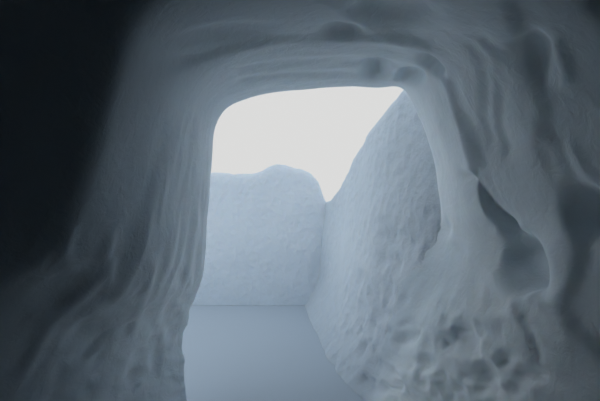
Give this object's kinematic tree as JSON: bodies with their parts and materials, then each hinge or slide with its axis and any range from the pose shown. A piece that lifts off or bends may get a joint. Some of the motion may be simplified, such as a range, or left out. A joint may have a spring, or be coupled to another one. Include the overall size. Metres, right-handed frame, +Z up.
{
  "type": "snow-block igloo with porch and windbreak",
  "caption": "Domed snow-block shelter: leaning block courses, smooth glazed inside, short vaulted porch, and an L-shaped snow windbreak before the crawl-in doorway.",
  "frame": {"origin": "on the ground under the middle of the whole igloo's box", "axes": "+Z up; the doorway faces -Y, with the porch, yard and windbreak on that side; +X to the left for someone looking out"},
  "size_m": [3.33, 5.3849, 1.915],
  "materials": {
    "block_snow": "matte wind-packed snow, cut in blocks",
    "glazed_snow": "smooth, slightly glazed snow",
    "packed_snow": "matte, rough trodden snow"
  },
  "bodies": {
    "root": {"course_1": "block_snow", "course_2": "block_snow", "course_3": "block_snow", "course_4": "block_snow", "course_5": "block_snow", "course_6": "block_snow", "key_block": "block_snow", "door_block_1_left": "block_snow", "door_block_1_right": "block_snow", "door_block_2_left": "block_snow", "door_block_2_right": "block_snow", "door_block_3_left": "block_snow", "door_block_3_right": "block_snow", "lintel_block": "block_snow", "dome_lining": "glazed_snow", "passage_lining": "glazed_snow", "passage_bank": "packed_snow", "inner_ring_left": "block_snow", "inner_ring_right": "block_snow", "inner_ring_vault": "block_snow", "outer_ring_left": "block_snow", "outer_ring_right": "block_snow", "outer_ring_vault": "block_snow", "side_wall_course_1": "block_snow", "side_wall_course_2": "block_snow", "side_wall_course_3": "block_snow", "front_wall_course_1": "block_snow", "front_wall_course_2": "block_snow", "front_wall_course_3": "block_snow", "crest_heap": "packed_snow"}
  },
  "joints": []
}
